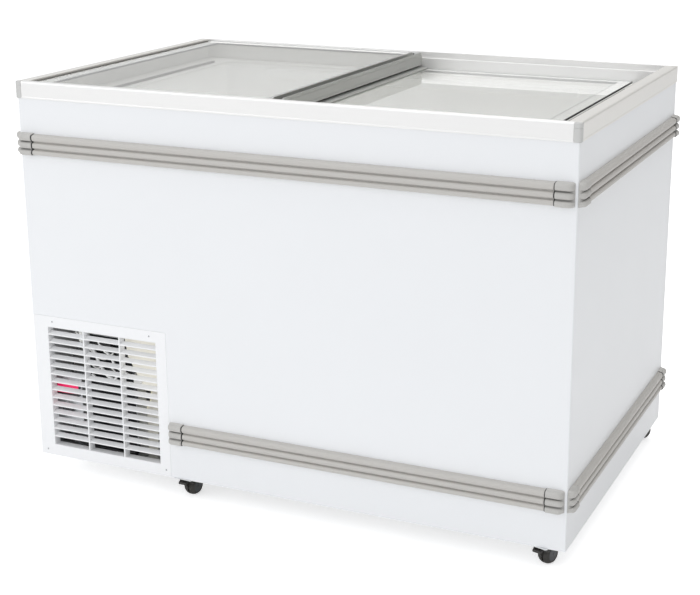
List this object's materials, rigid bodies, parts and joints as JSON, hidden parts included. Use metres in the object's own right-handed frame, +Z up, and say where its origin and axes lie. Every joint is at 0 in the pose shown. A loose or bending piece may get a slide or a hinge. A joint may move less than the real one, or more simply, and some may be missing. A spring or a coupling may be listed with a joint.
{
  "type": "ice cream dipping cabinet",
  "caption": "Low chest freezer on casters with sliding flat glass lids, grab channel handle, bumper rails and a louvred machine grille.",
  "frame": {"origin": "middle of the bounding box on the floor, under the casters", "axes": "+X towards the cabinet's right side, along its length; the front with the louvred grille faces -Y; +Z up"},
  "size_m": [1.246, 0.777, 0.886],
  "materials": {
    "white_sheet": "satin",
    "grille_white": "satin",
    "liner_white": "satin",
    "galvanised": "satin",
    "frame_aluminium": "satin",
    "handle_aluminium": "satin",
    "cap_plastic": "satin",
    "collar_plastic": "matte",
    "border_plastic": "satin",
    "lid_glass": "gloss",
    "black_rubber": "matte",
    "bumper_grey": "satin",
    "zinc": "satin",
    "caster_black": "satin",
    "machine_black": "satin",
    "coil_black": "satin",
    "knob_black": "satin",
    "blade_aluminium": "satin",
    "shroud_cream": "satin",
    "switch_red": "gloss"
  },
  "bodies": {
    "cabinet": {"back_left_caster_plate": "zinc", "back_panel": "white_sheet", "back_right_caster_plate": "zinc", "base_pan": "galvanised", "breaker_collar": "collar_plastic", "compressor": "machine_black", "condenser": "coil_black", "control_box": "galvanised", "cord_inlet": "black_rubber", "corner_cap_left": "cap_plastic", "corner_cap_right": "cap_plastic", "fan_motor": "machine_black", "fan_shroud": "shroud_cream", "frame_back": "frame_aluminium", "frame_front": "frame_aluminium", "frame_left": "frame_aluminium", "frame_right": "frame_aluminium", "front_left_caster_plate": "zinc", "front_panel": "white_sheet", "front_right_caster_plate": "zinc", "inner_liner": "liner_white", "left_side_panel": "white_sheet", "louvred_grille": "grille_white", "lower_front_bumper_cap_left": "bumper_grey", "lower_front_bumper_cap_right": "bumper_grey", "lower_front_bumper_rail": "bumper_grey", "lower_right_bumper_cap_back": "bumper_grey", "lower_right_bumper_cap_front": "bumper_grey", "lower_right_bumper_rail": "bumper_grey", "machine_bulkhead": "galvanised", "right_side_panel": "white_sheet", "upper_front_bumper_cap_left": "bumper_grey", "upper_front_bumper_cap_right": "bumper_grey", "upper_front_bumper_rail": "bumper_grey", "upper_left_bumper_cap_back": "bumper_grey", "upper_left_bumper_cap_front": "bumper_grey", "upper_left_bumper_rail": "bumper_grey", "upper_right_bumper_cap_back": "bumper_grey", "upper_right_bumper_cap_front": "bumper_grey", "upper_right_bumper_rail": "bumper_grey"},
    "upper_lid": {"upper_lid_glass": "lid_glass", "upper_lid_border": "border_plastic", "upper_lid_handle": "handle_aluminium", "lid_wiper_seal": "black_rubber"},
    "lower_lid": {"lower_lid_glass": "lid_glass", "lower_lid_border": "border_plastic", "lower_lid_inner_profile": "handle_aluminium"},
    "fan": {"fan_blade": "blade_aluminium"},
    "power_switch": {"power_switch_rocker": "switch_red"},
    "thermostat": {"thermostat_knob": "knob_black"},
    "front_left_caster_swivel": {"front_left_caster_hood": "caster_black"},
    "front_left_caster_wheel_body": {"front_left_caster_wheel": "caster_black"},
    "front_left_caster_brake": {"front_left_caster_brake_lever": "caster_black"},
    "front_right_caster_swivel": {"front_right_caster_hood": "caster_black"},
    "front_right_caster_wheel_body": {"front_right_caster_wheel": "caster_black"},
    "front_right_caster_brake": {"front_right_caster_brake_lever": "caster_black"},
    "back_left_caster_swivel": {"back_left_caster_hood": "caster_black"},
    "back_left_caster_wheel_body": {"back_left_caster_wheel": "caster_black"},
    "back_right_caster_swivel": {"back_right_caster_hood": "caster_black"},
    "back_right_caster_wheel_body": {"back_right_caster_wheel": "caster_black"}
  },
  "joints": [
    {"name": "upper_lid_slide", "type": "slide", "parent": "cabinet", "child": "upper_lid", "axis": [1, 0, 0], "range_m": [0, 0.578]},
    {"name": "lower_lid_slide", "type": "slide", "parent": "cabinet", "child": "lower_lid", "axis": [1, 0, 0], "range_m": [-0.491, 0]},
    {"name": "fan_spin", "type": "hinge", "parent": "cabinet", "child": "fan", "pos_m": [-0.441, -0.2735, 0.205], "axis": [0, 1, 0], "continuous": true},
    {"name": "power_switch_rock", "type": "hinge", "parent": "cabinet", "child": "power_switch", "pos_m": [-0.55, -0.3365, 0.2], "axis": [0, 0, 1], "range_deg": [-12, 0]},
    {"name": "thermostat_turn", "type": "hinge", "parent": "cabinet", "child": "thermostat", "pos_m": [-0.55, -0.3448, 0.152], "axis": [0, 1, 0], "range_deg": [0, 270]},
    {"name": "front_left_caster_swivel_turn", "type": "hinge", "parent": "cabinet", "child": "front_left_caster_swivel", "pos_m": [-0.2435, -0.3485, 0.0465], "axis": [0, 0, 1], "continuous": true},
    {"name": "front_left_caster_wheel_roll", "type": "hinge", "parent": "front_left_caster_swivel", "child": "front_left_caster_wheel_body", "pos_m": [-0.24256, -0.33053, 0.0215], "axis": [-0.9986, 0.0523, 0], "continuous": true},
    {"name": "front_left_caster_brake_press", "type": "hinge", "parent": "front_left_caster_swivel", "child": "front_left_caster_brake", "pos_m": [-0.24422, -0.36218, 0.04025], "axis": [-0.9986, 0.0523, 0], "range_deg": [-14, 0]},
    {"name": "front_right_caster_swivel_turn", "type": "hinge", "parent": "cabinet", "child": "front_right_caster_swivel", "pos_m": [0.556, -0.3485, 0.0465], "axis": [0, 0, 1], "continuous": true},
    {"name": "front_right_caster_wheel_roll", "type": "hinge", "parent": "front_right_caster_swivel", "child": "front_right_caster_wheel_body", "pos_m": [0.56066, -0.33111, 0.0215], "axis": [-0.9659, 0.2588, 0], "continuous": true},
    {"name": "front_right_caster_brake_press", "type": "hinge", "parent": "front_right_caster_swivel", "child": "front_right_caster_brake", "pos_m": [0.55245, -0.36173, 0.04025], "axis": [-0.9659, 0.2588, 0], "range_deg": [-14, 0]},
    {"name": "back_left_caster_swivel_turn", "type": "hinge", "parent": "cabinet", "child": "back_left_caster_swivel", "pos_m": [-0.2435, 0.3615, 0.0465], "axis": [0, 0, 1], "continuous": true},
    {"name": "back_left_caster_wheel_roll", "type": "hinge", "parent": "back_left_caster_swivel", "child": "back_left_caster_wheel_body", "pos_m": [-0.2255, 0.3615, 0.0215], "axis": [0, 1, 0], "continuous": true},
    {"name": "back_right_caster_swivel_turn", "type": "hinge", "parent": "cabinet", "child": "back_right_caster_swivel", "pos_m": [0.556, 0.3615, 0.0465], "axis": [0, 0, 1], "continuous": true},
    {"name": "back_right_caster_wheel_roll", "type": "hinge", "parent": "back_right_caster_swivel", "child": "back_right_caster_wheel_body", "pos_m": [0.574, 0.3615, 0.0215], "axis": [0, 1, 0], "continuous": true}
  ]
}
